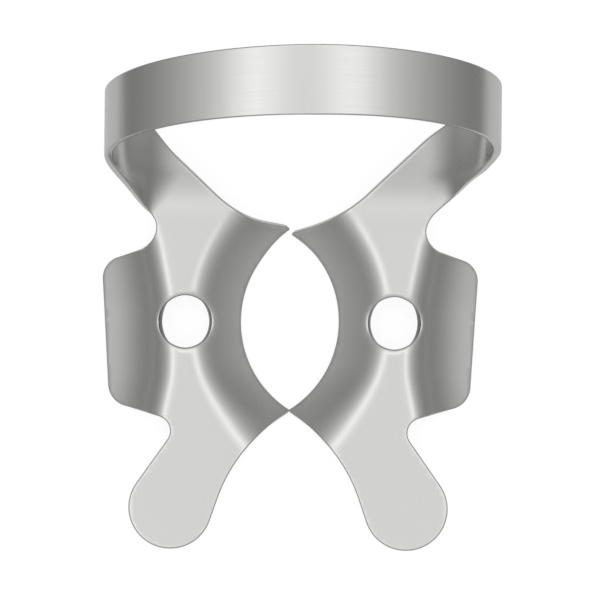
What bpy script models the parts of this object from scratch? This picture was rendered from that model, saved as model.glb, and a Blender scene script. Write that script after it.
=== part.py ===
"""Rubber dam clamp: one strip of spring steel, blanked and punched flat, then formed.

The flat blank lies in the XY plane with the crown of the bow at X = 0. Its two ends are
the jaws. Forming bends the blank into the bow, the arms and the jaws. In the finished
part the jaws face each other across the plane X = 0, the bow stands up along +Z and
leans towards +Y, and the front wings point along -Y.
"""

import math

import bmesh
import bpy
import numpy as np
from mathutils import Vector

# Sheet
SHEET = 0.0005
EDGE_ROUND = 0.00006

# Tooth opening between the two blades
GAP_HALF_WIDTH = 0.00302
TIP_REACH = 0.00545
TIP_POINT_X = -0.00004
TIP_ROUND = 0.00012
TIP_FLANK = 0.00036

# Forceps hole
HOLE_X = 0.00631
HOLE_DIAMETER = 0.00317

# Side wing
WING_REACH = 0.01136
WING_FRONT_REACH = 0.01085
WING_TOP_Y = 0.00346
WING_BOTTOM_Y = -0.00493
WING_TOP_ROUND = 0.0013
WING_BOTTOM_ROUND = 0.0014

# Notches before and behind the side wing
REAR_NOTCH_X = 0.00631
REAR_NOTCH_Y = 0.00517
REAR_NOTCH_ROUND = 0.00120
FRONT_NOTCH_X = 0.00655
FRONT_NOTCH_Y = -0.00610
FRONT_NOTCH_ROUND = 0.00090

# Front wing, a paddle with a round end
PADDLE_END_Y = -0.01373
PADDLE_OUTER_X = 0.01190
PADDLE_INNER_X = 0.00527
PADDLE_ROUND = 0.00250
PADDLE_NECK_X = 0.00315
PADDLE_NECK_Y = -0.00752
PADDLE_NECK_ROUND = 0.0096

# Arm, from the jaw to the bow
ARM_INNER_X = 0.00305
ARM_INNER_Y = 0.00624
ARM_INNER_ROUND = 0.0082
ARM_REAR_X = 0.00908
ARM_REAR_ROUND = 0.0045
ARM_FRONT_X = 0.01222
ARM_FRONT_ROUND = 0.0080

# Bow, as the strip's two edges on the blank
BOW_REAR_Y = 0.01190
BOW_FRONT_Y = 0.00825
CROWN_REAR_Y = 0.01228
CROWN_FRONT_Y = 0.00822

# Bow, as it stands
BOW_HALF_WIDTH = 0.01145
BOW_RISE = 0.0066
BOW_LEAN = math.radians(17.6)
BOW_OFFSET = 0.00068
BOW_TURN = math.radians(1.26)
ARM_BEND_X = 0.0067
ARM_BEND_RADIUS = 0.0026
ARM_SLOPE = math.radians(46)
CURL_RADIUS = 0.0030

# Arm, with its bend line slanted outwards in front and its rear part tipped up
ARM_SLANT = math.radians(29)
ARM_SLANT_Y = 0.0090
ARM_SLANT_WIDTH = 0.0008
ARM_PITCH = math.radians(15)
ARM_PITCH_Y = 0.0060
ARM_PITCH_WIDTH = 0.0022
ARM_PITCH_END = 0.0040

# Blade, bent down towards the tooth inside an oval bend line
BLADE_MIDDLE_Y = 0.0003
BLADE_BEND_X = 0.0065
BLADE_BEND_Y = 0.0082
BLADE_BEND_WIDTH = 0.0016
BLADE_SLOPE = math.radians(38)
BLADE_EDGE_SLOPE = math.radians(29)
TIP_STEEP_Y = 0.0028
TIP_TURN_REACH = 0.0013
TIP_TURN_DROP = 0.0004

# Side wing, bent down outwards and flattened towards its edge
WING_BEND_X = 0.0066
WING_BEND_WIDTH = 0.0018
WING_BEND_FLARE = 55.0
WING_FLARE_START_Y = 0.0005
WING_FLATTEN_WIDTH = 0.0024
WING_SLOPE = math.radians(42)
WING_EDGE_SLOPE = math.radians(14)
WING_BEND_REAR_Y = 0.0060
WING_BEND_REAR_END_Y = 0.0044
WING_BEND_FRONT_Y = -0.0072
WING_BEND_FRONT_END_Y = -0.0056

# Steps of the mesh
ARC_STEP = math.radians(15)
JAW_CELL = 0.0005
BOW_CELL = 0.0007
JAW_CELLS_END = 0.0120
NEAR_OUTLINE = 0.00016
SHORT_EDGE = 0.00009
SLIVER_AREA = 1e-8
WELD = 1e-7
TABLE_STEPS = 720
FLAT_ANGLE = math.radians(1)
EDGE_ANGLE = math.radians(60)
SHARP_ANGLE = math.radians(35)

STEEL_COLOUR = (0.60, 0.60, 0.59, 1.0)
STEEL_ROUGHNESS = 0.32


def clear_scene():
    for obj in list(bpy.data.objects):
        bpy.data.objects.remove(obj, do_unlink=True)


def new_collection(name):
    made = bpy.data.collections.new(name)
    bpy.context.scene.collection.children.link(made)
    return made


def steel():
    made = bpy.data.materials.new("brushed_stainless_steel")
    made.use_nodes = True
    shader = made.node_tree.nodes["Principled BSDF"]
    shader.inputs["Base Color"].default_value = STEEL_COLOUR
    shader.inputs["Metallic"].default_value = 1.0
    shader.inputs["Roughness"].default_value = STEEL_ROUGHNESS
    return made


def smooth(value):
    """0 below 0, 1 above 1, and a soft step between them."""
    t = min(1.0, max(0.0, value))
    return t * t * (3.0 - 2.0 * t)


def bend(distance, width):
    """Drop of a sheet bent to slope 1, where the bend is spread softly over a width."""
    t = min(1.0, max(0.0, distance / width))
    return width * (t**3 - 0.5 * t**4) + max(0.0, distance - width)


def flatten(distance, width):
    """Height of a sheet whose slope grows evenly to 1 over a width and then stays."""
    if distance <= 0.0:
        return 0.0
    if distance < width:
        return distance * distance / (2.0 * width)
    return distance - width / 2.0


def crown_arc():
    """Arc length along a quarter of the bow's ellipse, from its side up to its crown."""
    angle = np.linspace(0.0, math.pi / 2.0, TABLE_STEPS)
    x = BOW_HALF_WIDTH * np.cos(angle)
    z = BOW_RISE * np.sin(angle)
    length = np.concatenate([[0.0], np.cumsum(np.hypot(np.diff(x), np.diff(z)))])
    return length, angle


ARC_LENGTH, ARC_ANGLE = crown_arc()
BEND_END_X = ARM_BEND_X + ARM_BEND_RADIUS * math.sin(ARM_SLOPE)
BEND_END_Z = ARM_BEND_RADIUS * (1.0 - math.cos(ARM_SLOPE))
BEND_END_U = ARM_BEND_X + ARM_BEND_RADIUS * ARM_SLOPE
CURL_START_X = BOW_HALF_WIDTH - CURL_RADIUS * (1.0 - math.sin(ARM_SLOPE))
SLOPE_LENGTH = (CURL_START_X - BEND_END_X) / math.cos(ARM_SLOPE)
CURL_START_Z = BEND_END_Z + SLOPE_LENGTH * math.sin(ARM_SLOPE)
CURL_START_U = BEND_END_U + SLOPE_LENGTH
SIDE_Z = CURL_START_Z + CURL_RADIUS * math.cos(ARM_SLOPE)
SIDE_U = CURL_START_U + CURL_RADIUS * (math.pi / 2.0 - ARM_SLOPE)
CROWN_U = SIDE_U + float(ARC_LENGTH[-1])


def strip_profile(u):
    """Place (x, z) on the arm and bow, at the distance u along the sheet from X = 0."""
    if u <= ARM_BEND_X:
        return u, 0.0
    if u <= BEND_END_U:
        angle = (u - ARM_BEND_X) / ARM_BEND_RADIUS
        x = ARM_BEND_X + ARM_BEND_RADIUS * math.sin(angle)
        return x, ARM_BEND_RADIUS * (1.0 - math.cos(angle))
    if u <= CURL_START_U:
        along = u - BEND_END_U
        return BEND_END_X + along * math.cos(ARM_SLOPE), BEND_END_Z + along * math.sin(ARM_SLOPE)
    if u <= SIDE_U:
        angle = ARM_SLOPE + (u - CURL_START_U) / CURL_RADIUS
        x = BOW_HALF_WIDTH - CURL_RADIUS * (1.0 - math.sin(angle))
        return x, SIDE_Z - CURL_RADIUS * math.cos(angle)
    angle = float(np.interp(u - SIDE_U, ARC_LENGTH, ARC_ANGLE))
    return BOW_HALF_WIDTH * math.cos(angle), SIDE_Z + BOW_RISE * math.sin(angle)


def blade_drop(x, y):
    """How far the blade lies below the jaw's ridge: bent down inside an oval line."""
    along = y - BLADE_MIDDLE_Y
    radius = math.hypot(x, along)
    oval = math.hypot(x / BLADE_BEND_X, along / BLADE_BEND_Y)
    if oval >= 1.0 or radius < WELD:
        return 0.0
    inside = radius / oval - radius
    steep = math.tan(BLADE_SLOPE)
    near_tip = smooth((abs(y) - TIP_STEEP_Y) / (TIP_REACH - TIP_STEEP_Y))
    flatter = (steep - math.tan(BLADE_EDGE_SLOPE)) * (1.0 - near_tip)
    flatter_width = BLADE_BEND_X - GAP_HALF_WIDTH - BLADE_BEND_WIDTH
    drop = steep * bend(inside, BLADE_BEND_WIDTH)
    drop -= flatter * flatten(inside - BLADE_BEND_WIDTH, flatter_width)
    to_tip = math.hypot(x, abs(y) - TIP_REACH)
    return drop + TIP_TURN_DROP * max(0.0, 1.0 - to_tip / TIP_TURN_REACH) ** 2


def wing_drop(x, y):
    """How far the side wing lies below the jaw's ridge. Its bend line flares to the rear."""
    outside = x - WING_BEND_X - WING_BEND_FLARE * max(0.0, y - WING_FLARE_START_Y) ** 2
    steep = math.tan(WING_SLOPE)
    flatter = steep - math.tan(WING_EDGE_SLOPE)
    drop = steep * bend(outside, WING_BEND_WIDTH)
    return drop - flatter * flatten(outside - WING_BEND_WIDTH, WING_FLATTEN_WIDTH)


def arm_rise(u, y):
    """Height of the arm and bow over the ridge, and how much its tipped rear part adds."""
    late = math.tan(ARM_SLANT) * bend(ARM_SLANT_Y - y, ARM_SLANT_WIDTH)
    height = strip_profile(u - late)[1]
    pitched = math.tan(ARM_PITCH) * bend(y - ARM_PITCH_Y, ARM_PITCH_WIDTH)
    return height, pitched * (1.0 - smooth(height / ARM_PITCH_END))


def form(w, y):
    """Place in the finished part of the blank's point (w, y)."""
    side = 1.0 if w >= 0.0 else -1.0
    u = CROWN_U - abs(w)
    strip_x = strip_profile(u)[0]
    strip_z, pitched = arm_rise(u, y)
    rear = WING_BEND_REAR_Y - WING_BEND_REAR_END_Y
    on_arm = smooth((y - WING_BEND_REAR_END_Y) / rear)
    front = WING_BEND_FRONT_END_Y - WING_BEND_FRONT_Y
    on_wing = smooth((y - WING_BEND_FRONT_Y) / front)
    x = on_arm * strip_x + (1.0 - on_arm) * u
    lowered = (1.0 - on_arm) * on_wing * wing_drop(u, y) + blade_drop(u, y)
    z = on_arm * strip_z + pitched - lowered
    lean = math.tan(BOW_LEAN) * on_arm * strip_z
    share = smooth(on_arm * strip_z / SIDE_Z)
    across = side * x
    turned = math.sin(BOW_TURN) * across
    return Vector((across + BOW_OFFSET * share, y + lean + turned * share, z))


def arc_points(before, corner, after, radius):
    """Points of the arc that rounds a corner between two straight edges."""
    first = (before - corner).normalized()
    second = (after - corner).normalized()
    half = math.acos(max(-1.0, min(1.0, first.dot(second)))) / 2.0
    centre = corner + (first + second).normalized() * (radius / math.sin(half))
    start = corner + first * (radius / math.tan(half)) - centre
    turn = math.pi - 2.0 * half
    if start.x * first.y - start.y * first.x > 0.0:
        turn = -turn
    steps = max(2, round(abs(turn) / ARC_STEP), round(radius * abs(turn) / JAW_CELL))
    points = []
    for i in range(steps + 1):
        angle = turn * i / steps
        spun = (
            start.x * math.cos(angle) - start.y * math.sin(angle),
            start.x * math.sin(angle) + start.y * math.cos(angle),
        )
        points.append(centre + Vector(spun))
    return points


def gap_edge():
    """The blade's edge from near the front tip to near the rear tip, on one circle."""
    depth = GAP_HALF_WIDTH - TIP_POINT_X
    radius = (TIP_REACH**2 + depth**2) / (2.0 * depth)
    centre_x = GAP_HALF_WIDTH - radius
    span = math.asin(TIP_REACH / radius) - TIP_FLANK / radius
    steps = round(2.0 * span * radius / JAW_CELL)
    points = []
    for i in range(steps + 1):
        angle = span * (2.0 * i / steps - 1.0)
        points.append(Vector((centre_x + radius * math.cos(angle), radius * math.sin(angle))))
    return points


def rounded(corners):
    """Points along a chain of corners (x, y, radius). Its two ends are left square."""
    places = [Vector((x, y)) for x, y, radius in corners]
    points = [places[0]]
    for i in range(1, len(corners) - 1):
        points += arc_points(places[i - 1], places[i], places[i + 1], corners[i][2])
    return points + [places[-1]]


def half_outline():
    """The blank's outline from the crown's front edge round the jaw to its rear edge."""
    blade_edge = gap_edge()
    front = [
        (CROWN_U, CROWN_FRONT_Y, 0.0),
        (ARM_FRONT_X, BOW_FRONT_Y, ARM_FRONT_ROUND),
        (REAR_NOTCH_X, REAR_NOTCH_Y, REAR_NOTCH_ROUND),
        (WING_REACH, WING_TOP_Y, WING_TOP_ROUND),
        (WING_FRONT_REACH, WING_BOTTOM_Y, WING_BOTTOM_ROUND),
        (FRONT_NOTCH_X, FRONT_NOTCH_Y, FRONT_NOTCH_ROUND),
        (PADDLE_OUTER_X, PADDLE_END_Y, PADDLE_ROUND),
        (PADDLE_INNER_X, PADDLE_END_Y, PADDLE_ROUND),
        (PADDLE_NECK_X, PADDLE_NECK_Y, PADDLE_NECK_ROUND),
        (TIP_POINT_X, -TIP_REACH, TIP_ROUND),
        (blade_edge[0].x, blade_edge[0].y, 0.0),
    ]
    rear = [
        (blade_edge[-1].x, blade_edge[-1].y, 0.0),
        (TIP_POINT_X, TIP_REACH, TIP_ROUND),
        (ARM_INNER_X, ARM_INNER_Y, ARM_INNER_ROUND),
        (ARM_REAR_X, BOW_REAR_Y, ARM_REAR_ROUND),
        (CROWN_U, CROWN_REAR_Y, 0.0),
    ]
    return rounded(front)[:-1] + blade_edge + rounded(rear)[1:]


def hole_points():
    radius = HOLE_DIAMETER / 2.0
    steps = round(2.0 * math.pi / ARC_STEP)
    turn = 2.0 * math.pi / steps
    return [
        Vector((HOLE_X + radius * math.cos(turn * i), radius * math.sin(turn * i)))
        for i in range(steps)
    ]


def add_spline(curve, points):
    spline = curve.splines.new("POLY")
    spline.points.add(len(points) - 1)
    for place, point in zip(spline.points, points):
        place.co = (CROWN_U - point.x, point.y, 0.0, 1.0)
    spline.use_cyclic_u = True


def half_blank(guides):
    """Half of the flat blank as a filled curve, with the crown on the plane X = 0."""
    curve = bpy.data.curves.new("half_blank", "CURVE")
    curve.dimensions = "2D"
    curve.fill_mode = "BOTH"
    add_spline(curve, half_outline())
    add_spline(curve, hole_points())
    made = bpy.data.objects.new("half_blank", curve)
    guides.objects.link(made)
    return made


def cut_lines(mesh, axis, start, end, cell, chosen):
    """Cuts the chosen faces along evenly spaced lines, so that the sheet can bend there."""
    normal = Vector((0.0, 0.0, 0.0))
    normal[axis] = 1.0
    steps = math.ceil((end - start) / cell)
    for i in range(steps + 1):
        faces = [face for face in mesh.faces if chosen(face.calc_center_median())]
        edges = {edge for face in faces for edge in face.edges}
        verts = {vert for face in faces for vert in face.verts}
        place = normal * (start + (end - start) * i / steps)
        bmesh.ops.bisect_plane(
            mesh, geom=faces + list(edges) + list(verts), dist=WELD, plane_co=place, plane_no=normal
        )


def clean_outline(mesh):
    """Draws corners that lie close inside the outline onto it, and drops its short edges."""
    outline = [vert for vert in mesh.verts if vert.is_boundary]
    near = bmesh.ops.find_doubles(mesh, verts=mesh.verts, keep_verts=outline, dist=NEAR_OUTLINE)
    bmesh.ops.weld_verts(mesh, targetmap=near["targetmap"])
    outline = [vert for vert in mesh.verts if vert.is_boundary]
    bmesh.ops.remove_doubles(mesh, verts=outline, dist=SHORT_EDGE)
    slivers = [
        face
        for face in mesh.faces
        if face.calc_area() < SLIVER_AREA and any(edge.is_boundary for edge in face.edges)
    ]
    bmesh.ops.delete(mesh, geom=slivers, context="FACES")


def cut_blank(curve_object):
    """The half blank as a mesh, cut into small cells in the jaw and strips in the bow."""
    depsgraph = bpy.context.evaluated_depsgraph_get()
    flat = bpy.data.meshes.new_from_object(curve_object.evaluated_get(depsgraph))
    mesh = bmesh.new()
    mesh.from_mesh(flat)
    bmesh.ops.remove_doubles(mesh, verts=mesh.verts, dist=WELD)
    bmesh.ops.dissolve_limit(
        mesh, angle_limit=FLAT_ANGLE, verts=mesh.verts, edges=mesh.edges, delimit=set()
    )
    arm_start = CROWN_U - JAW_CELLS_END
    cut_lines(mesh, 0, 0.0, arm_start, BOW_CELL, lambda centre: True)
    cut_lines(mesh, 0, arm_start, CROWN_U, JAW_CELL, lambda centre: True)
    cut_lines(
        mesh,
        1,
        PADDLE_END_Y,
        BOW_REAR_Y,
        JAW_CELL,
        lambda centre: centre.x > arm_start or centre.y < REAR_NOTCH_Y,
    )
    clean_outline(mesh)
    mesh.to_mesh(flat)
    mesh.free()
    return flat


def formed_sheet(flat, guides):
    """The whole blank, mirrored at the crown and bent to its finished shape."""
    half = bpy.data.objects.new("flat_blank", flat)
    guides.objects.link(half)
    mirror = half.modifiers.new("other_half", "MIRROR")
    mirror.use_clip = True
    mirror.merge_threshold = WELD
    depsgraph = bpy.context.evaluated_depsgraph_get()
    sheet = bpy.data.meshes.new_from_object(half.evaluated_get(depsgraph))
    mesh = bmesh.new()
    mesh.from_mesh(sheet)
    for vert in mesh.verts:
        vert.co = form(vert.co.x, vert.co.y)
    bmesh.ops.recalc_face_normals(mesh, faces=mesh.faces)
    mesh.to_mesh(sheet)
    mesh.free()
    return sheet


def build_clamp():
    parts = new_collection("rubber_dam_clamp")
    guides = new_collection("blank_guides")
    outline = half_blank(guides)
    sheet = formed_sheet(cut_blank(outline), guides)
    for guide in guides.objects:
        guide.hide_render = True
        guide.display_type = "WIRE"
    clamp = bpy.data.objects.new("clamp", sheet)
    parts.objects.link(clamp)
    clamp.data.materials.append(steel())
    wall = clamp.modifiers.new("sheet_thickness", "SOLIDIFY")
    wall.thickness = SHEET
    wall.offset = 0.0
    wall.use_even_offset = True
    wall.use_quality_normals = True
    edge = clamp.modifiers.new("rounded_edges", "BEVEL")
    edge.width = EDGE_ROUND
    edge.segments = 1
    edge.limit_method = "ANGLE"
    edge.angle_limit = EDGE_ANGLE
    edge.use_clamp_overlap = False
    clamp.data.shade_smooth()
    clamp.data.set_sharp_from_angle(angle=SHARP_ANGLE)
    return clamp


def main():
    clear_scene()
    build_clamp()


main()
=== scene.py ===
"""Rubber dam clamp: a brushed steel clamp on a pale floor, under soft studio light.

The clamp is made as it is in the workshop. A flat blank is cut and punched, half of it
with the crown of the bow at X = 0, and mirrored. The blank is then bent to its finished
shape, given the thickness of its sheet, and its edges are rounded.
"""

import math

import bmesh
import bpy
import numpy as np
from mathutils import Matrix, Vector


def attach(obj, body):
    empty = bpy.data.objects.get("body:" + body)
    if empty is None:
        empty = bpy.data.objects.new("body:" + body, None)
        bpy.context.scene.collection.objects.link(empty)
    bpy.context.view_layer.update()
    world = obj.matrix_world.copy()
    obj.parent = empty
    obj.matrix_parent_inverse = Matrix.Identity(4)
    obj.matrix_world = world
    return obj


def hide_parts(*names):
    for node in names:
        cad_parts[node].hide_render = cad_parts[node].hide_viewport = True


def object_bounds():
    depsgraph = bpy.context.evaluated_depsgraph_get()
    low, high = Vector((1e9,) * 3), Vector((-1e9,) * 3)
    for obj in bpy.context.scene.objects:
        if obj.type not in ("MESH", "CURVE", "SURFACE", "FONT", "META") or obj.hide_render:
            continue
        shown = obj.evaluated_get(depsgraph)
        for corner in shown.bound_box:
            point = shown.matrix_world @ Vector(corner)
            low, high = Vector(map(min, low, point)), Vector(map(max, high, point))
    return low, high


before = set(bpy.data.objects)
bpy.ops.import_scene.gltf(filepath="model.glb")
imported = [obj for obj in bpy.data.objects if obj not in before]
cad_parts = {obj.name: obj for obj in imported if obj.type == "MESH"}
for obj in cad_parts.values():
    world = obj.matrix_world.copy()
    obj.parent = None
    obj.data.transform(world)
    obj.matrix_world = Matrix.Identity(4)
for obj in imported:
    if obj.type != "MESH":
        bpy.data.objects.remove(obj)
FRAME_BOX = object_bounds()

bl_info = {
    "name": "Rubber dam clamp",
    "version": (1, 0, 0),
    "blender": (4, 5, 0),
    "location": "3D View > Sidebar > Dam clamp",
    "description": "Builds a brushed steel rubber dam clamp and a pale studio for it",
    "category": "Add Mesh",
}

# Corners of the flat blank that few would change. A tuple is (x, y, radius) in metres.
TIP_POINT_X = -0.00004
TIP_ROUND = 0.00012
TIP_FLANK = 0.00036
REAR_NOTCH = (0.00631, 0.00517, 0.00120)
FRONT_NOTCH = (0.00655, -0.00610, 0.00090)
PADDLE_NECK = (0.00315, -0.00752, 0.0096)
ARM_INNER = (0.00305, 0.00624, 0.0082)
ARM_REAR_X = 0.00918
ARM_REAR_ROUND = 0.0045
ARM_FRONT_X = 0.01222
ARM_FRONT_ROUND = 0.0080
WING_TOP_ROUND = 0.0013
WING_BOTTOM_ROUND = 0.0014
PADDLE_ROUND = 0.00250
CROWN_LAP = 0.0004

# Arm, curl and blade bends that few would change
ARM_BEND_X = 0.0071
ARM_BEND_RADIUS = 0.0028
CURL_RADIUS = 0.0040
TIP_TURN_REACH = 0.0013
BLADE_MIDDLE_Y = 0.0003
BLADE_WIDEN_Y = -0.0025
BLADE_WIDEN_WIDTH = 0.0037

# The arm bends later towards its front edge, and its rear part is tipped up
ARM_SLANT_Y = 0.0094
ARM_SLANT_WIDTH = 0.0008
ARM_SLANT_END_X = 0.0092
ARM_SLANT_FADE = 0.0033
ARM_PITCH_Y = 0.0050
ARM_PITCH_WIDTH = 0.0042
ARM_PITCH_END = 0.0040

# The side wing's bend line turns outwards at both of its ends
WING_RELAX_WIDTH = 0.0028
WING_FLARE = 0.20
WING_RELAX_FLARE = 0.16
WING_FLARE_WIDTH = 0.0016
WING_FRONT_FLARE_Y = -0.0024
WING_BEND_REAR_Y = 0.0060
WING_BEND_REAR_END_Y = 0.0044
WING_BEND_FRONT_Y = -0.0072
WING_BEND_FRONT_END_Y = -0.0056

# What makes the two sides differ: the right arm is trimmed and the rear tips are moved
RIGHT_TRIM = 0.00036
TRIM_START_X = 0.0080
TRIM_START_WIDTH = 0.0016
TRIM_END_X = 0.0102
TRIM_END_WIDTH = 0.0024
TRIM_REAR_Y = 0.0100
TRIM_REAR_WIDTH = 0.0022
TRIM_FRONT_Y = 0.0048
TRIM_FRONT_WIDTH = 0.0010
LEFT_TIP_SHIFT = 0.00024
RIGHT_TIP_SHIFT = -0.00008
TIP_SHIFT_REACH = 0.0030

# Edges as the punch leaves them
EDGE_ROLL = 0.00002
HOLE_ROLL = 0.00005
HOLE_ROLL_WIDTH = 0.00026
# How far from a hole's middle its walls are darkened with painted shade
HOLE_MARK_REACH = 0.0021
EDGE_SEGMENTS = 3

# Steps of the mesh
ARC_STEP = math.radians(5)
SHORTEST_STEP = 0.00005
JAW_CELL = 0.0002
BOW_CELL = 0.0003
JAW_CELLS_END = 0.0136
RIM = 0.00010
NEAR_RIM = 0.00008
SHORT_EDGE = 0.00003
THIN_FACE = 0.000015
WELD = 1e-7
MIRROR_WELD = 1e-6
TABLE_STEPS = 1440
FLAT_ANGLE = math.radians(1)
EDGE_ANGLE = math.radians(60)
NORMAL_WEIGHT = 50

# Brush marks: maps in millimetres, and noise drawn out along them
MM_PER_METRE = 1000.0
METRES_PER_MICROMETRE = 1e-6
BOW_GRAIN_X = 0.0072
BOW_GRAIN_FADE = 0.0016
PADDLE_GRAIN_Y = -0.0052
PADDLE_GRAIN_WIDTH = 0.0020
PADDLE_GRAIN_SLANT = 0.62
GRAIN_SIDE_SHIFT = 0.04
JAW_GRAIN_SCALE = (0.15, 13.0, 1.0)
BOW_GRAIN_SCALE = (0.12, 12.0, 1.0)
GRAIN_DETAIL = 4.0
GRAIN_ROUGHNESS = 0.65
MARKS_LOW = 0.3
MARKS_TINT_HIGH = 0.6
MARKS_ROUGH_HIGH = 0.7
ROUGHNESS_SPREAD = 0.02

# Light dome, as its level at heights from the horizon (0) to straight up (1)
DOME_STRENGTH = 1.7
DOME_SIDES = [
    (0.0, 0.27),
    (0.14, 0.305),
    (0.31, 0.345),
    (0.46, 0.41),
    (0.58, 0.49),
    (0.68, 0.59),
]
DOME_RING = [
    (0.755, 0.68),
    (0.82, 0.79),
    (0.87, 0.98),
    (0.915, 1.28),
    (0.955, 1.85),
    (1.0, 0.86),
]
DOME_DIM_RING = [(0.755, 0.66), (0.82, 0.74), (0.90, 0.84), (0.955, 0.88), (1.0, 0.90)]

# The ring is dim on this side, from the first to the second share of the way towards it
DIM_SIDE = (0.35, -1.0, 0.0)
DIM_FROM = 0.08
DIM_TO = 0.42

# Painted reflection: how bright the floor glows in the steel, close by and far away, and how bright it
# is to the camera
FLOOR_NEAR = 0.035
FLOOR_FAR = 0.070
FLOOR_NEAR_LEVEL = 0.50
FLOOR_FAR_LEVEL = 0.08
FLOOR_SEEN_LEVEL = 0.84
FLOOR_RADIUS = 2.0
FLOOR_CORNERS = 96

# Camera, in millimetres of lens and sensor, and metres
CAMERA_LENS = 250.0
CAMERA_SENSOR = 36.0
CAMERA_CLIP = 0.01


def length(name, description, default):
    """A length in metres, shown in the panel."""
    return bpy.props.FloatProperty(
        name=name,
        description=description,
        default=default,
        unit="LENGTH",
        precision=5,
    )


def turn(name, description, degrees):
    """An angle, given in degrees and kept in radians."""
    return bpy.props.FloatProperty(
        name=name,
        description=description,
        default=math.radians(degrees),
        subtype="ANGLE",
    )


def amount(name, description, default):
    """A plain number that isn't below 0."""
    return bpy.props.FloatProperty(
        name=name,
        description=description,
        default=default,
        min=0.0,
    )


def colour(name, description, default):
    """A colour, shown in the panel as a patch."""
    return bpy.props.FloatVectorProperty(
        name=name,
        description=description,
        default=default,
        subtype="COLOR",
        size=3,
        min=0.0,
        max=1.0,
    )


class BlankSizes(bpy.types.PropertyGroup):
    """Sizes of the flat blank, as seen from above"""

    sheet: length("Sheet", "Thickness of the spring steel sheet", 0.0005)
    edge_round: length("Edge round", "Width of the rounding along every edge", 0.00007)
    gap_half_width: length("Half gap", "From the middle to the blade at its widest", 0.00302)
    tip_reach: length("Tip reach", "From the middle to a blade's tip", 0.00545)
    hole_x: length("Hole distance", "From the middle to a forceps hole", 0.00628)
    hole_y: length("Hole along", "Place of the forceps hole along the jaw", -0.00005)
    hole_width: length("Hole width", "Forceps hole across, as the bend leaves it", 0.00298)
    hole_length: length("Hole length", "Forceps hole along the jaw", 0.00323)
    wing_reach: length("Wing reach", "From the middle to the side wing's rear corner", 0.01135)
    wing_front_reach: length("Wing front reach", "The same at its front corner", 0.01085)
    wing_top_y: length("Wing rear", "Rear edge of the side wing", 0.00346)
    wing_bottom_y: length("Wing front", "Front edge of the side wing", -0.00493)
    paddle_end_y: length("Paddle end", "End of the front wing", -0.01369)
    paddle_outer_x: length("Paddle outside", "Outer side of the front wing's end", 0.01190)
    paddle_inner_x: length("Paddle inside", "Inner side of the front wing's end", 0.00527)
    bow_rear_y: length("Bow rear", "Rear edge of the strip at its ends", 0.01203)
    bow_front_y: length("Bow front", "Front edge of the strip at its ends", 0.00830)
    crown_rear_y: length("Crown rear", "Rear edge of the strip at the crown", 0.01217)
    crown_front_y: length("Crown front", "Front edge of the strip at the crown", 0.00812)


class FormSizes(bpy.types.PropertyGroup):
    """Bends that give the blank its finished shape"""

    bow_half_width: length("Bow half width", "Half the width across the bow's sides", 0.01143)
    bow_rise: length("Bow rise", "From the bow's widest place up to its crown", 0.0066)
    bow_lean: turn("Bow lean", "How far the bow leans back", 18.1)
    bow_offset: length("Bow offset", "How far the bow sits to one side", 0.00068)
    bow_turn: turn("Bow turn", "How far the bow is turned in plan", 1.26)
    arm_slope: turn("Arm slope", "Slope of the arm above the jaw", 47)
    arm_slant: turn("Arm bend slant", "Slant of the arm's bend line in front", 35)
    arm_pitch: turn("Arm pitch", "How far the arm's rear part is tipped up", 15)
    blade_bend_x: length("Blade bend", "From the middle to the blade's bend line", 0.00645)
    blade_front_centre: length("Blade bend centre", "Its front arc's, past the middle", 0.0061)
    blade_bend_width: length("Blade bend width", "Width over which the blade is bent", 0.0016)
    blade_front_width: length("Blade bend width in front", "That width at its front", 0.0025)
    blade_slope: turn("Blade slope", "Slope of the blade below its bend", 34.5)
    blade_edge_slope: turn("Blade edge slope", "Slope of the blade at its edge", 26)
    tip_turn_drop: length("Tip drop", "How far a tip is turned down", 0.0001)
    wing_bend_x: length("Wing bend", "Where the side wing starts to bend down", 0.0066)
    wing_bend_width: length("Wing bend width", "Width over which it is bent", 0.0015)
    wing_slope: turn("Wing slope", "Slope of the side wing below its bend", 43)
    wing_edge_slope: turn("Wing edge slope", "Slope at the side wing's edge", 17.5)


class SteelFinish(bpy.types.PropertyGroup):
    """Colours and brush marks of the steel, and the painted shade on the forceps holes' walls"""

    steel: colour("Steel", "Colour of the brushed steel", (0.60, 0.60, 0.59))
    dull_steel: colour("Dull steel", "Colour in the brush marks", (0.594, 0.594, 0.585))
    # The punched walls' colour is painted shade: a dark grey that stands in for the shade inside the
    # forceps holes
    painted_wall_shade: colour("Painted wall shade", "Colour of the punched walls", (0.20, 0.20, 0.20))
    roughness: amount("Roughness", "Roughness of the brushed faces", 0.26)
    grain_depth: amount("Grain depth", "Depth of the brush marks, in micrometres", 0.10)


class StageSizes(bpy.types.PropertyGroup):
    """Camera and floor"""

    camera_height: length("Camera height", "Height of the camera above the jaws", 0.25)
    camera_x: length("Camera across", "Place of the camera across the clamp", 0.00060)
    camera_y: length("Camera along", "Place of the camera along the clamp", 0.001296)
    camera_turn: turn("Camera turn", "How far the camera is turned", 0.55)
    floor: colour("Floor", "Colour of the floor", (0.30, 0.30, 0.30))


def smooth(value):
    """0 below 0, 1 above 1, and a soft step between them."""
    t = min(1.0, max(0.0, value))
    return t * t * (3.0 - 2.0 * t)


def bend(distance, width):
    """Drop of a sheet bent to slope 1, where the bend is spread softly over a width."""
    t = min(1.0, max(0.0, distance / width))
    return width * (t**3 - 0.5 * t**4) + max(0.0, distance - width)


def flatten(distance, width):
    """Drop that a slope of 1 loses when it is taken up evenly over a width."""
    if distance <= 0.0:
        return 0.0
    if distance < width:
        return distance * distance / (2.0 * width)
    return distance - width / 2.0


def relax(distance, width):
    """Like flatten, but the slope is taken up fast at first and then ever more slowly."""
    t = min(1.0, max(0.0, distance / width))
    return width * (t**2 - t**3 / 3.0) + max(0.0, distance - width)


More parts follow.
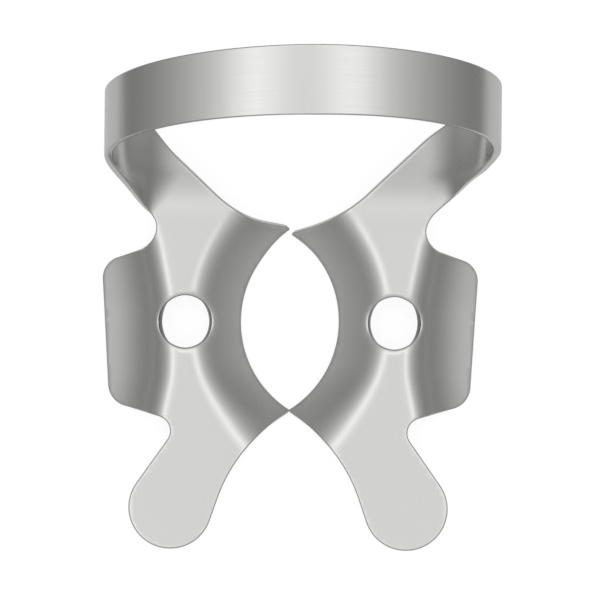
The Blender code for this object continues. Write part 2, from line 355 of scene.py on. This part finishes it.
class Strip:
    """The line that the sheet follows in the arm and bow, by the distance along it."""

    def __init__(self, sizes):
        """Works out where the arm's bend, its straight part, the curl and the bow begin."""
        slope = sizes.arm_slope
        self.slope = slope
        self.half_width = sizes.bow_half_width
        self.rise = sizes.bow_rise
        angle = np.linspace(0.0, math.pi / 2.0, TABLE_STEPS)
        across = self.half_width * np.cos(angle)
        up = self.rise * np.sin(angle)
        steps = np.hypot(np.diff(across), np.diff(up))
        self.arc_length = np.concatenate([[0.0], np.cumsum(steps)])
        self.arc_angle = angle
        self.bend_end_x = ARM_BEND_X + ARM_BEND_RADIUS * math.sin(slope)
        self.bend_end_z = ARM_BEND_RADIUS * (1.0 - math.cos(slope))
        self.bend_end_u = ARM_BEND_X + ARM_BEND_RADIUS * slope
        curl_start_x = self.half_width - CURL_RADIUS * (1.0 - math.sin(slope))
        straight = (curl_start_x - self.bend_end_x) / math.cos(slope)
        self.curl_start_u = self.bend_end_u + straight
        curl_start_z = self.bend_end_z + straight * math.sin(slope)
        self.side_z = curl_start_z + CURL_RADIUS * math.cos(slope)
        self.side_u = self.curl_start_u + CURL_RADIUS * (math.pi / 2.0 - slope)
        self.crown_u = self.side_u + float(self.arc_length[-1])

    def place(self, u):
        """Place (x, z) at the distance u along the sheet from the middle plane."""
        if u <= ARM_BEND_X:
            return u, 0.0
        if u <= self.bend_end_u:
            angle = (u - ARM_BEND_X) / ARM_BEND_RADIUS
            x = ARM_BEND_X + ARM_BEND_RADIUS * math.sin(angle)
            return x, ARM_BEND_RADIUS * (1.0 - math.cos(angle))
        if u <= self.curl_start_u:
            along = u - self.bend_end_u
            x = self.bend_end_x + along * math.cos(self.slope)
            return x, self.bend_end_z + along * math.sin(self.slope)
        if u <= self.side_u:
            angle = self.slope + (u - self.curl_start_u) / CURL_RADIUS
            x = self.half_width - CURL_RADIUS * (1.0 - math.sin(angle))
            return x, self.side_z - CURL_RADIUS * math.cos(angle)
        side = 1.0 if u <= self.crown_u else -1.0
        along = self.crown_u - self.side_u - abs(self.crown_u - u)
        angle = float(np.interp(along, self.arc_length, self.arc_angle))
        x = side * self.half_width * math.cos(angle)
        return x, self.side_z + self.rise * math.sin(angle)


def gap_circle(blank):
    """Centre and radius of the circle that each blade's edge follows round the gap."""
    depth = blank.gap_half_width - TIP_POINT_X
    radius = (blank.tip_reach**2 + depth**2) / (2.0 * depth)
    return blank.gap_half_width - radius, radius


def blade_drop(x, y, blank, sizes):
    """How far the blade lies below the jaw's ridge: bent down along the gap's edge."""
    along = y - BLADE_MIDDLE_Y
    centre_x = gap_circle(blank)[0] if along > 0.0 else -sizes.blade_front_centre
    inside = sizes.blade_bend_x - centre_x - math.hypot(x - centre_x, along)
    front = smooth((BLADE_WIDEN_Y - y) / BLADE_WIDEN_WIDTH)
    width = sizes.blade_bend_width + front * (sizes.blade_front_width - sizes.blade_bend_width)
    steep = math.tan(sizes.blade_slope)
    flatter = steep - math.tan(sizes.blade_edge_slope)
    flatter_width = sizes.blade_bend_x - blank.gap_half_width - sizes.blade_bend_width
    drop = steep * bend(inside, width) - flatter * flatten(inside - width, flatter_width)
    to_tip = math.hypot(x, abs(y) - blank.tip_reach)
    return drop + sizes.tip_turn_drop * max(0.0, 1.0 - to_tip / TIP_TURN_REACH) ** 2


def wing_drop(x, y, blank, sizes):
    """How far the side wing lies below the jaw's ridge."""
    flare = bend(y, WING_FLARE_WIDTH) + bend(WING_FRONT_FLARE_Y - y, WING_FLARE_WIDTH)
    outside = x - sizes.wing_bend_x - WING_FLARE * flare
    beyond = x - sizes.wing_bend_x - sizes.wing_bend_width - WING_RELAX_FLARE * flare
    steep = math.tan(sizes.wing_slope)
    flatter = steep - math.tan(sizes.wing_edge_slope)
    drop = steep * bend(outside, sizes.wing_bend_width)
    return max(0.0, drop - flatter * relax(beyond, WING_RELAX_WIDTH))


def arm_share(y):
    """0 on the jaw and 1 on the arm behind it."""
    return smooth((y - WING_BEND_REAR_END_Y) / (WING_BEND_REAR_Y - WING_BEND_REAR_END_Y))


def wing_share(y):
    """0 on the front wing and 1 on the jaw behind it."""
    return smooth((y - WING_BEND_FRONT_Y) / (WING_BEND_FRONT_END_Y - WING_BEND_FRONT_Y))


def hole_roll(u, y, blank):
    """How far the punch has rolled the sheet down close to the forceps hole."""
    along = y - blank.hole_y
    across = u - blank.hole_x
    share = math.hypot(2.0 * across / blank.hole_width, 2.0 * along / blank.hole_length)
    beside = (share - 1.0) * blank.hole_width / 2.0
    return HOLE_ROLL * max(0.0, 1.0 - beside / HOLE_ROLL_WIDTH) ** 2


def arm_trim(u, y):
    """Share of the trim on the right arm, which is narrower along its front edge."""
    started = smooth((u - TRIM_START_X) / TRIM_START_WIDTH)
    ended = smooth((u - TRIM_END_X) / TRIM_END_WIDTH)
    in_front = smooth((TRIM_REAR_Y - y) / TRIM_REAR_WIDTH)
    off_wing = smooth((y - TRIM_FRONT_Y) / TRIM_FRONT_WIDTH)
    return started * (1.0 - ended) * in_front * off_wing


def formed(w, y, strip, blank, sizes):
    """Place in the finished clamp of the blank's point (w, y)."""
    side = 1.0 if w >= 0.0 else -1.0
    u = strip.crown_u - abs(w)
    on_strip = u - side * sizes.bow_offset
    strip_x = strip.place(on_strip)[0] + side * sizes.bow_offset
    late = math.tan(sizes.arm_slant) * bend(ARM_SLANT_Y - y, ARM_SLANT_WIDTH)
    late *= 1.0 - smooth((on_strip - ARM_SLANT_END_X) / ARM_SLANT_FADE)
    strip_z = strip.place(on_strip - late)[1]
    on_arm = arm_share(y)
    lowered = (1.0 - on_arm) * wing_share(y) * wing_drop(u, y, blank, sizes)
    x = on_arm * strip_x + (1.0 - on_arm) * u
    pitched = math.tan(sizes.arm_pitch) * bend(y - ARM_PITCH_Y, ARM_PITCH_WIDTH)
    pitched *= 1.0 - smooth(strip_z / ARM_PITCH_END)
    z = on_arm * strip_z + pitched - lowered - blade_drop(u, y, blank, sizes)
    z -= hole_roll(u, y, blank)
    lean = math.tan(sizes.bow_lean) * on_arm * strip_z
    share = smooth(on_arm * strip_z / strip.side_z)
    across = side * x
    turned = math.sin(sizes.bow_turn) * across
    by_tip = smooth(1.0 - math.hypot(u, y - blank.tip_reach) / TIP_SHIFT_REACH)
    if side > 0.0:
        trimmed = RIGHT_TRIM * arm_trim(u, y) + RIGHT_TIP_SHIFT * by_tip
    else:
        trimmed = LEFT_TIP_SHIFT * by_tip
    return Vector((across, y + lean + turned * share + trimmed, z))


def arc_points(before, corner, after, radius):
    """Points of the arc that rounds a corner between two straight edges."""
    first = (before - corner).normalized()
    second = (after - corner).normalized()
    half = math.acos(max(-1.0, min(1.0, first.dot(second)))) / 2.0
    centre = corner + (first + second).normalized() * (radius / math.sin(half))
    start = corner + first * (radius / math.tan(half)) - centre
    swing = math.pi - 2.0 * half
    if start.x * first.y - start.y * first.x > 0.0:
        swing = -swing
    finest = round(radius * abs(swing) / SHORTEST_STEP)
    steps = max(3, min(finest, round(abs(swing) / ARC_STEP)))
    steps = max(steps, round(radius * abs(swing) / JAW_CELL))
    points = []
    for i in range(steps + 1):
        angle = swing * i / steps
        spun = (
            start.x * math.cos(angle) - start.y * math.sin(angle),
            start.x * math.sin(angle) + start.y * math.cos(angle),
        )
        points.append(centre + Vector(spun))
    return points


def gap_edge(blank):
    """The blade's edge from near the front tip to near the rear tip, on one circle."""
    centre_x, radius = gap_circle(blank)
    span = math.asin(blank.tip_reach / radius) - TIP_FLANK / radius
    steps = round(2.0 * span * radius / JAW_CELL)
    points = []
    for i in range(steps + 1):
        angle = span * (2.0 * i / steps - 1.0)
        points.append(Vector((centre_x + radius * math.cos(angle), radius * math.sin(angle))))
    return points


def rounded(corners):
    """Points along a chain of corners (x, y, radius). Its two ends are left square."""
    places = [Vector((x, y)) for x, y, radius in corners]
    points = [places[0]]
    for i in range(1, len(corners) - 1):
        points += arc_points(places[i - 1], places[i], places[i + 1], corners[i][2])
    return points + [places[-1]]


def half_outline(blank, crown_u):
    """The blank's outline from the crown's front edge round the jaw to its rear edge."""
    blade_edge = gap_edge(blank)
    front_slope = (blank.crown_front_y - blank.bow_front_y) / (crown_u - ARM_FRONT_X)
    rear_slope = (blank.crown_rear_y - blank.bow_rear_y) / (crown_u - ARM_REAR_X)
    lap_u = crown_u + CROWN_LAP
    front = [
        (lap_u, blank.crown_front_y + front_slope * CROWN_LAP, 0.0),
        (ARM_FRONT_X, blank.bow_front_y, ARM_FRONT_ROUND),
        REAR_NOTCH,
        (blank.wing_reach, blank.wing_top_y, WING_TOP_ROUND),
        (blank.wing_front_reach, blank.wing_bottom_y, WING_BOTTOM_ROUND),
        FRONT_NOTCH,
        (blank.paddle_outer_x, blank.paddle_end_y, PADDLE_ROUND),
        (blank.paddle_inner_x, blank.paddle_end_y, PADDLE_ROUND),
        PADDLE_NECK,
        (TIP_POINT_X, -blank.tip_reach, TIP_ROUND),
        (blade_edge[0].x, blade_edge[0].y, 0.0),
    ]
    rear = [
        (blade_edge[-1].x, blade_edge[-1].y, 0.0),
        (TIP_POINT_X, blank.tip_reach, TIP_ROUND),
        ARM_INNER,
        (ARM_REAR_X, blank.bow_rear_y, ARM_REAR_ROUND),
        (lap_u, blank.crown_rear_y + rear_slope * CROWN_LAP, 0.0),
    ]
    return rounded(front)[:-1] + blade_edge + rounded(rear)[1:]


def hole_outline(blank):
    """Forceps hole, punched round in the sheet and so an oval from above, where it slopes."""
    steps = round(2.0 * math.pi / ARC_STEP)
    points = []
    for i in range(steps):
        angle = 2.0 * math.pi * i / steps
        x = blank.hole_x + blank.hole_width / 2.0 * math.cos(angle)
        y = blank.hole_y + blank.hole_length / 2.0 * math.sin(angle)
        points.append(Vector((x, y)))
    return points


def activate(obj):
    """Selects only this object and makes it the active one."""
    bpy.ops.object.select_all(action="DESELECT")
    obj.select_set(True)
    bpy.context.view_layer.objects.active = obj


def draw_half_blank(blank, crown_u):
    """The flat half blank drawn as a filled curve and turned into a mesh."""
    curve = bpy.data.curves.new("clamp", "CURVE")
    curve.dimensions = "2D"
    curve.fill_mode = "BOTH"
    for outline in (half_outline(blank, crown_u), hole_outline(blank)):
        spline = curve.splines.new("POLY")
        spline.points.add(len(outline) - 1)
        for place, point in zip(spline.points, outline):
            place.co = (crown_u - point.x, point.y, 0.0, 1.0)
        spline.use_cyclic_u = True
    drawn = bpy.data.objects.new("clamp_steel", curve)
    bpy.context.scene.collection.objects.link(drawn)
    activate(drawn)
    bpy.ops.object.convert(target="MESH")
    return bpy.context.object


def select_faces(obj, chosen):
    """In edit mode, selects only the shown faces that are chosen."""
    mesh = bmesh.from_edit_mesh(obj.data)
    bpy.ops.mesh.select_all(action="DESELECT")
    for face in mesh.faces:
        if not face.hide and chosen(face):
            face.select_set(True)
    mesh.select_flush_mode()
    bmesh.update_edit_mesh(obj.data)


def cut_lines(axis, start, end, cell):
    """Cuts all shown faces along evenly spaced lines, so that the sheet can bend there."""
    normal = Vector((0.0, 0.0, 0.0))
    normal[axis] = 1.0
    steps = max(1, round((end - start) / cell))
    for i in range(steps + 1):
        bpy.ops.mesh.select_all(action="SELECT")
        place = normal * (start + (end - start) * i / steps)
        bpy.ops.mesh.bisect(plane_co=place, plane_no=normal, threshold=WELD)


def divide_outline(half):
    """Halves the straight edges of the outline until each is as short as a cell."""
    bpy.ops.mesh.select_mode(type="EDGE")
    while True:
        bpy.ops.mesh.select_all(action="DESELECT")
        mesh = bmesh.from_edit_mesh(half.data)
        long_edges = [
            edge for edge in mesh.edges if edge.is_boundary and edge.calc_length() > BOW_CELL
        ]
        if not long_edges:
            return
        for edge in long_edges:
            edge.select_set(True)
        bmesh.update_edit_mesh(half.data)
        bpy.ops.mesh.subdivide(number_cuts=1)


def cut_half_blank(half, blank, crown_u):
    """Gives the half blank an even rim along its outline and small cells inside it."""
    arm_start = crown_u - JAW_CELLS_END
    bpy.ops.object.mode_set(mode="EDIT")
    bpy.ops.mesh.select_mode(type="EDGE")
    bpy.ops.mesh.select_all(action="SELECT")
    bpy.ops.mesh.remove_doubles(threshold=WELD)
    bpy.ops.mesh.bisect(plane_co=(0.0, 0.0, 0.0), plane_no=(0.0, 1.0, 0.0), threshold=WELD)
    bpy.ops.mesh.mark_seam()
    bpy.ops.mesh.select_mode(type="FACE")
    bpy.ops.mesh.select_all(action="SELECT")
    bpy.ops.mesh.dissolve_limited(angle_limit=FLAT_ANGLE, delimit={"SEAM"})
    divide_outline(half)
    bpy.ops.mesh.select_mode(type="FACE")
    bpy.ops.mesh.select_all(action="SELECT")
    bpy.ops.mesh.inset(thickness=RIM, use_boundary=True, use_even_offset=True)
    mesh = bmesh.from_edit_mesh(half.data)
    rim = mesh.faces.layers.int.new("rim")
    for face in mesh.faces:
        face[rim] = 0 if face.select else 1
    bmesh.update_edit_mesh(half.data)
    bpy.ops.mesh.select_all(action="SELECT")
    bpy.ops.mesh.bisect(
        plane_co=(0.0, 0.0, 0.0), plane_no=(1.0, 0.0, 0.0), clear_inner=True, threshold=WELD
    )
    select_faces(half, lambda face: face[rim_layer(half)] == 0)
    bpy.ops.mesh.hide(unselected=True)
    cut_lines(0, 0.0, arm_start, BOW_CELL)
    cut_lines(0, arm_start, crown_u, JAW_CELL)

    def in_jaw(face):
        centre = face.calc_center_median()
        return centre.x > arm_start or centre.y < REAR_NOTCH[1]

    select_faces(half, in_jaw)
    bpy.ops.mesh.hide(unselected=True)
    cut_lines(1, -math.ceil(-blank.paddle_end_y / JAW_CELL) * JAW_CELL, 0.0, JAW_CELL)
    cut_lines(1, 0.0, math.ceil(blank.bow_rear_y / JAW_CELL) * JAW_CELL, JAW_CELL)
    bpy.ops.mesh.reveal(select=False)
    draw_to_rim(half)
    bpy.ops.mesh.select_all(action="SELECT")
    bpy.ops.mesh.mark_seam(clear=True)
    bpy.ops.object.mode_set(mode="OBJECT")


def rim_layer(obj):
    """In edit mode, the layer that marks the faces of the rim."""
    return bmesh.from_edit_mesh(obj.data).faces.layers.int["rim"]


def draw_to_rim(half):
    """Draws corners that lie close to the rim onto it, and drops the rim's short edges."""
    bpy.ops.mesh.select_mode(type="VERT")
    bpy.ops.mesh.select_all(action="DESELECT")
    mesh = bmesh.from_edit_mesh(half.data)
    rim = mesh.faces.layers.int["rim"]
    for vert in mesh.verts:
        vert.select_set(all(face[rim] == 0 for face in vert.link_faces) and vert.co.x > WELD)
    bmesh.update_edit_mesh(half.data)
    bpy.ops.mesh.remove_doubles(threshold=NEAR_RIM, use_unselected=True)
    bpy.ops.mesh.select_all(action="DESELECT")
    mesh = bmesh.from_edit_mesh(half.data)
    rim = mesh.faces.layers.int["rim"]
    for vert in mesh.verts:
        kinds = {face[rim] for face in vert.link_faces}
        vert.select_set(kinds == {0, 1} and vert.co.x > WELD)
    bmesh.update_edit_mesh(half.data)
    bpy.ops.mesh.remove_doubles(threshold=SHORT_EDGE)
    bpy.ops.mesh.select_all(action="SELECT")
    bpy.ops.mesh.dissolve_degenerate(threshold=THIN_FACE)
    drop_folded(half)


def drop_folded(half):
    """Collapses the few thin faces that the merging turned over."""
    mesh = bmesh.from_edit_mesh(half.data)
    mesh.normal_update()
    upward = sum(face.normal.z * face.calc_area() for face in mesh.faces) > 0.0
    select_faces(half, lambda face: (face.normal.z > 0.0) != upward)
    if half.data.total_face_sel:
        bpy.ops.mesh.merge(type="COLLAPSE")


def apply_modifier(obj, name, kind, **settings):
    """Adds a modifier with these settings and applies it."""
    modifier = obj.modifiers.new(name, kind)
    for setting, value in settings.items():
        setattr(modifier, setting, value)
    bpy.ops.object.modifier_apply(modifier=modifier.name)


def form_blank(obj, strip, blank, sizes):
    """Lays the brush marks' maps on the flat blank, then bends it to its finished shape."""
    mesh = bmesh.new()
    mesh.from_mesh(obj.data)
    bow_grain = mesh.loops.layers.uv.new("bow_grain")
    jaw_grain = mesh.loops.layers.uv.new("jaw_grain")
    bow_share = mesh.verts.layers.float.new("bow_share")
    for vert in mesh.verts:
        w, y = vert.co.x, vert.co.y
        u = strip.crown_u - abs(w)
        vert[bow_share] = smooth((u - BOW_GRAIN_X) / BOW_GRAIN_FADE) * arm_share(y)
    for face in mesh.faces:
        side = 1.0 if face.calc_center_median().x >= 0.0 else -1.0
        for loop in face.loops:
            w, y = loop.vert.co.x, loop.vert.co.y
            u = strip.crown_u - abs(w)
            across = u - PADDLE_GRAIN_SLANT * bend(PADDLE_GRAIN_Y - y, PADDLE_GRAIN_WIDTH)
            across += side * GRAIN_SIDE_SHIFT
            loop[bow_grain].uv = (w * MM_PER_METRE, y * MM_PER_METRE)
            loop[jaw_grain].uv = (y * MM_PER_METRE, across * MM_PER_METRE)
    for vert in mesh.verts:
        vert.co = formed(vert.co.x, vert.co.y, strip, blank, sizes)
    bmesh.ops.recalc_face_normals(mesh, faces=mesh.faces)
    mesh.to_mesh(obj.data)
    mesh.free()


def roll_edges(obj, sheet_verts, sheet_faces):
    """Rolls the upper skin's edge down a little all round, as a blanking punch leaves it."""
    verts = obj.data.vertices
    skins = [verts[:sheet_verts], verts[sheet_verts : 2 * sheet_verts]]
    skins.sort(key=lambda skin: -sum(vert.co.z for vert in skin))
    rim_faces = obj.data.polygons[2 * sheet_faces :]
    on_edge = {i % sheet_verts for face in rim_faces for i in face.vertices}
    for i in on_edge:
        upper, lower = skins[0][i], skins[1][i]
        upper.co += (lower.co - upper.co).normalized() * EDGE_ROLL


def mark_hole_walls(obj, sheet_faces, hole_x):
    """Marks the forceps holes' walls, the faces that follow the two skins of the sheet, for the painted
    shade that darkens them.
    """
    mark = obj.data.attributes.new("hole_wall", "FLOAT", "FACE")
    for face in obj.data.polygons:
        beside = math.hypot(abs(face.center.x) - hole_x, face.center.y)
        on_wall = face.index >= 2 * sheet_faces and beside < HOLE_MARK_REACH
        mark.data[face.index].value = 1.0 if on_wall else 0.0


def new_material(name):
    """An empty material, with its nodes and links."""
    made = bpy.data.materials.new(name)
    made.use_nodes = True
    nodes = made.node_tree.nodes
    nodes.clear()
    return made, nodes, made.node_tree.links


def grain(nodes, links, uv_map, scale):
    """Noise drawn out along the brush marks of one map, in millimetres."""
    place = nodes.new("ShaderNodeUVMap")
    place.uv_map = uv_map
    stretch = nodes.new("ShaderNodeMapping")
    stretch.inputs["Scale"].default_value = scale
    noise = nodes.new("ShaderNodeTexNoise")
    noise.inputs["Scale"].default_value = 1.0
    noise.inputs["Detail"].default_value = GRAIN_DETAIL
    noise.inputs["Roughness"].default_value = GRAIN_ROUGHNESS
    links.new(place.outputs["UV"], stretch.inputs["Vector"])
    links.new(stretch.outputs["Vector"], noise.inputs["Vector"])
    return noise.outputs["Fac"]


def brushed_steel(finish):
    """Stainless steel brushed along the bow, along the jaws and along each front wing, with painted
    shade on the forceps holes' walls.
    """
    made, nodes, links = new_material("brushed_stainless_steel")
    out = nodes.new("ShaderNodeOutputMaterial")
    shader = nodes.new("ShaderNodeBsdfPrincipled")
    shader.inputs["Metallic"].default_value = 1.0
    on_bow = nodes.new("ShaderNodeAttribute")
    on_bow.attribute_name = "bow_share"
    both = nodes.new("ShaderNodeMix")
    both.data_type = "FLOAT"
    links.new(on_bow.outputs["Fac"], both.inputs["Factor"])
    links.new(grain(nodes, links, "jaw_grain", JAW_GRAIN_SCALE), both.inputs["A"])
    links.new(grain(nodes, links, "bow_grain", BOW_GRAIN_SCALE), both.inputs["B"])
    marks = both.outputs["Result"]
    tint = nodes.new("ShaderNodeMix")
    tint.data_type = "RGBA"
    tint.inputs["A"].default_value = (*finish.dull_steel, 1.0)
    tint.inputs["B"].default_value = (*finish.steel, 1.0)
    spread = nodes.new("ShaderNodeMapRange")
    spread.inputs["From Min"].default_value = MARKS_LOW
    spread.inputs["From Max"].default_value = MARKS_TINT_HIGH
    links.new(marks, spread.inputs["Value"])
    links.new(spread.outputs["Result"], tint.inputs["Factor"])
    # Painted shade: the holes' walls are darkened to the wall colour, which stands in for the shade
    # inside them
    on_wall = nodes.new("ShaderNodeAttribute")
    on_wall.attribute_name = "hole_wall"
    walls = nodes.new("ShaderNodeMix")
    walls.data_type = "RGBA"
    walls.inputs["B"].default_value = (*finish.painted_wall_shade, 1.0)
    links.new(on_wall.outputs["Fac"], walls.inputs["Factor"])
    links.new(tint.outputs["Result"], walls.inputs["A"])
    links.new(walls.outputs["Result"], shader.inputs["Base Color"])
    rough = nodes.new("ShaderNodeMapRange")
    rough.inputs["From Min"].default_value = MARKS_LOW
    rough.inputs["From Max"].default_value = MARKS_ROUGH_HIGH
    rough.inputs["To Min"].default_value = finish.roughness + ROUGHNESS_SPREAD
    rough.inputs["To Max"].default_value = finish.roughness - ROUGHNESS_SPREAD
    links.new(marks, rough.inputs["Value"])
    links.new(rough.outputs["Result"], shader.inputs["Roughness"])
    relief = nodes.new("ShaderNodeBump")
    relief.inputs["Distance"].default_value = finish.grain_depth * METRES_PER_MICROMETRE
    links.new(marks, relief.inputs["Height"])
    links.new(relief.outputs["Normal"], shader.inputs["Normal"])
    links.new(shader.outputs["BSDF"], out.inputs["Surface"])
    return made


class DAMCLAMP_OT_clamp(bpy.types.Operator):
    """Cut, form and finish the clamp from one strip of spring steel"""

    bl_idname = "damclamp.add_clamp"
    bl_label = "Add clamp"

    def execute(self, context):
        blank = context.scene.damclamp_blank
        sizes = context.scene.damclamp_form
        strip = Strip(sizes)
        clamp = draw_half_blank(blank, strip.crown_u)
        cut_half_blank(clamp, blank, strip.crown_u)
        apply_modifier(clamp, "other_half", "MIRROR", use_clip=True, merge_threshold=MIRROR_WELD)
        form_blank(clamp, strip, blank, sizes)
        sheet_verts = len(clamp.data.vertices)
        sheet_faces = len(clamp.data.polygons)
        apply_modifier(
            clamp,
            "sheet_thickness",
            "SOLIDIFY",
            thickness=blank.sheet,
            offset=0.0,
            use_even_offset=True,
            use_quality_normals=True,
        )
        roll_edges(clamp, sheet_verts, sheet_faces)
        mark_hole_walls(clamp, sheet_faces, blank.hole_x)
        apply_modifier(
            clamp,
            "rounded_edges",
            "BEVEL",
            width=blank.edge_round,
            segments=EDGE_SEGMENTS,
            limit_method="ANGLE",
            angle_limit=EDGE_ANGLE,
            use_clamp_overlap=False,
            loop_slide=False,
        )
        bpy.ops.object.shade_smooth()
        apply_modifier(clamp, "even_shading", "WEIGHTED_NORMAL", keep_sharp=False, weight=NORMAL_WEIGHT)
        clamp.data.materials.clear()
        clamp.data.materials.append(brushed_steel(context.scene.damclamp_finish))
        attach(clamp, "root")
        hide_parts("clamp")
        return {"FINISHED"}


def floor_material(floor_colour):
    """A pale floor that shows white where no shadow falls. In the steel it glows brighter close by than
    far away, a painted reflection.
    """
    made, nodes, links = new_material("pale_floor")
    out = nodes.new("ShaderNodeOutputMaterial")
    both = nodes.new("ShaderNodeAddShader")
    matt = nodes.new("ShaderNodeBsdfDiffuse")
    matt.inputs["Color"].default_value = (*floor_colour, 1.0)
    glow = nodes.new("ShaderNodeEmission")
    rays = nodes.new("ShaderNodeLightPath")
    place = nodes.new("ShaderNodeTexCoord")
    distance = nodes.new("ShaderNodeVectorMath")
    distance.operation = "LENGTH"
    links.new(place.outputs["Object"], distance.inputs[0])
    near = nodes.new("ShaderNodeMapRange")
    near.interpolation_type = "SMOOTHSTEP"
    near.inputs["From Min"].default_value = FLOOR_NEAR
    near.inputs["From Max"].default_value = FLOOR_FAR
    near.inputs["To Min"].default_value = FLOOR_NEAR_LEVEL
    near.inputs["To Max"].default_value = FLOOR_FAR_LEVEL
    links.new(distance.outputs["Value"], near.inputs["Value"])
    seen = nodes.new("ShaderNodeMath")
    seen.operation = "MAXIMUM"
    links.new(rays.outputs["Is Glossy Ray"], seen.inputs[0])
    links.new(rays.outputs["Is Transmission Ray"], seen.inputs[1])
    # Painted reflection: to glossy rays the floor glows, brighter close to the clamp than far away
    mirrored = nodes.new("ShaderNodeMath")
    mirrored.operation = "MULTIPLY"
    links.new(seen.outputs["Value"], mirrored.inputs[0])
    links.new(near.outputs["Result"], mirrored.inputs[1])
    direct = nodes.new("ShaderNodeMath")
    direct.operation = "MULTIPLY"
    direct.inputs[1].default_value = FLOOR_SEEN_LEVEL
    links.new(rays.outputs["Is Camera Ray"], direct.inputs[0])
    strength = nodes.new("ShaderNodeMath")
    strength.operation = "ADD"
    links.new(mirrored.outputs["Value"], strength.inputs[0])
    links.new(direct.outputs["Value"], strength.inputs[1])
    links.new(strength.outputs["Value"], glow.inputs["Strength"])
    links.new(matt.outputs["BSDF"], both.inputs[0])
    links.new(glow.outputs["Emission"], both.inputs[1])
    links.new(both.outputs["Shader"], out.inputs["Surface"])
    return made


def level_ramp(nodes, stops):
    """A ramp from the horizon, at 0, to straight up, at 1, with the dome's level at each stop."""
    ramp = nodes.new("ShaderNodeValToRGB")
    elements = ramp.color_ramp.elements
    while len(elements) < len(stops):
        elements.new(0.5)
    for element, (height, level) in zip(elements, stops):
        grey = level / DOME_STRENGTH
        element.position = height
        element.color = (grey, grey, grey, 1.0)
    return ramp


def light_dome():
    """A soft dome: a bright ring overhead round the darker camera, and dim sides."""
    world = bpy.data.worlds.new("light_dome")
    world.use_nodes = True
    nodes = world.node_tree.nodes
    links = world.node_tree.links
    nodes.clear()
    out = nodes.new("ShaderNodeOutputWorld")
    light = nodes.new("ShaderNodeBackground")
    light.inputs["Strength"].default_value = DOME_STRENGTH
    place = nodes.new("ShaderNodeTexCoord")
    split = nodes.new("ShaderNodeSeparateXYZ")
    links.new(place.outputs["Generated"], split.inputs["Vector"])
    ring = level_ramp(nodes, DOME_SIDES + DOME_RING)
    dim_ring = level_ramp(nodes, DOME_SIDES + DOME_DIM_RING)
    links.new(split.outputs["Z"], ring.inputs["Fac"])
    links.new(split.outputs["Z"], dim_ring.inputs["Fac"])
    dim_side = nodes.new("ShaderNodeVectorMath")
    dim_side.operation = "DOT_PRODUCT"
    dim_side.inputs[1].default_value = DIM_SIDE
    links.new(place.outputs["Generated"], dim_side.inputs[0])
    share = nodes.new("ShaderNodeMapRange")
    share.interpolation_type = "SMOOTHSTEP"
    share.inputs["From Min"].default_value = DIM_FROM
    share.inputs["From Max"].default_value = DIM_TO
    links.new(dim_side.outputs["Value"], share.inputs["Value"])
    mix = nodes.new("ShaderNodeMix")
    mix.data_type = "RGBA"
    links.new(share.outputs["Result"], mix.inputs["Factor"])
    links.new(ring.outputs["Color"], mix.inputs["A"])
    links.new(dim_ring.outputs["Color"], mix.inputs["B"])
    links.new(mix.outputs["Result"], light.inputs["Color"])
    links.new(light.outputs["Background"], out.inputs["Surface"])
    return world


class DAMCLAMP_OT_stage(bpy.types.Operator):
    """Add the pale floor, the light dome and the camera"""

    bl_idname = "damclamp.add_stage"
    bl_label = "Add stage"

    def execute(self, context):
        sizes = context.scene.damclamp_stage
        bpy.ops.object.select_all(action="DESELECT")
        bpy.ops.mesh.primitive_circle_add(
            vertices=FLOOR_CORNERS,
            radius=FLOOR_RADIUS,
            fill_type="NGON",
            location=(0.0, 0.0, FRAME_BOX[0][2]),
        )
        floor = context.object
        floor.name = "floor"
        bpy.ops.object.transform_apply(location=True, rotation=True, scale=True)
        floor.data.materials.append(floor_material(sizes.floor))
        context.scene.world = light_dome()
        bpy.ops.object.camera_add(
            location=(sizes.camera_x, sizes.camera_y, sizes.camera_height),
            rotation=(0.0, 0.0, sizes.camera_turn),
        )
        camera = context.object
        camera.data.lens = CAMERA_LENS
        camera.data.sensor_width = CAMERA_SENSOR
        camera.data.clip_start = CAMERA_CLIP
        context.scene.camera = camera
        context.scene.view_settings.view_transform = "Standard"
        return {"FINISHED"}


class DAMCLAMP_PT_panel(bpy.types.Panel):
    """All sizes and finishes, and the two operators"""

    bl_idname = "DAMCLAMP_PT_panel"
    bl_label = "Rubber dam clamp"
    bl_space_type = "VIEW_3D"
    bl_region_type = "UI"
    bl_category = "Dam clamp"

    def draw(self, context):
        for name in PROPERTY_GROUPS:
            group = getattr(context.scene, name)
            box = self.layout.box()
            for key in group.bl_rna.properties.keys():
                if key not in ("rna_type", "name"):
                    box.prop(group, key)
        for operator in OPERATORS:
            self.layout.operator(operator.bl_idname)


PROPERTY_GROUPS = {
    "damclamp_blank": BlankSizes,
    "damclamp_form": FormSizes,
    "damclamp_finish": SteelFinish,
    "damclamp_stage": StageSizes,
}
OPERATORS = (DAMCLAMP_OT_clamp, DAMCLAMP_OT_stage)


def register():
    """Adds the sizes, the operators and the panel to Blender."""
    for name, group in PROPERTY_GROUPS.items():
        bpy.utils.register_class(group)
        setattr(bpy.types.Scene, name, bpy.props.PointerProperty(type=group))
    for operator in OPERATORS:
        bpy.utils.register_class(operator)
    bpy.utils.register_class(DAMCLAMP_PT_panel)


def unregister():
    """Takes them away again."""
    bpy.utils.unregister_class(DAMCLAMP_PT_panel)
    for operator in reversed(OPERATORS):
        bpy.utils.unregister_class(operator)
    for name, group in PROPERTY_GROUPS.items():
        delattr(bpy.types.Scene, name)
        bpy.utils.unregister_class(group)


def main():
    """Registers the add-on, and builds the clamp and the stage."""
    register()
    bpy.ops.damclamp.add_clamp()
    bpy.ops.damclamp.add_stage()


if __name__ == "__main__":
    main()
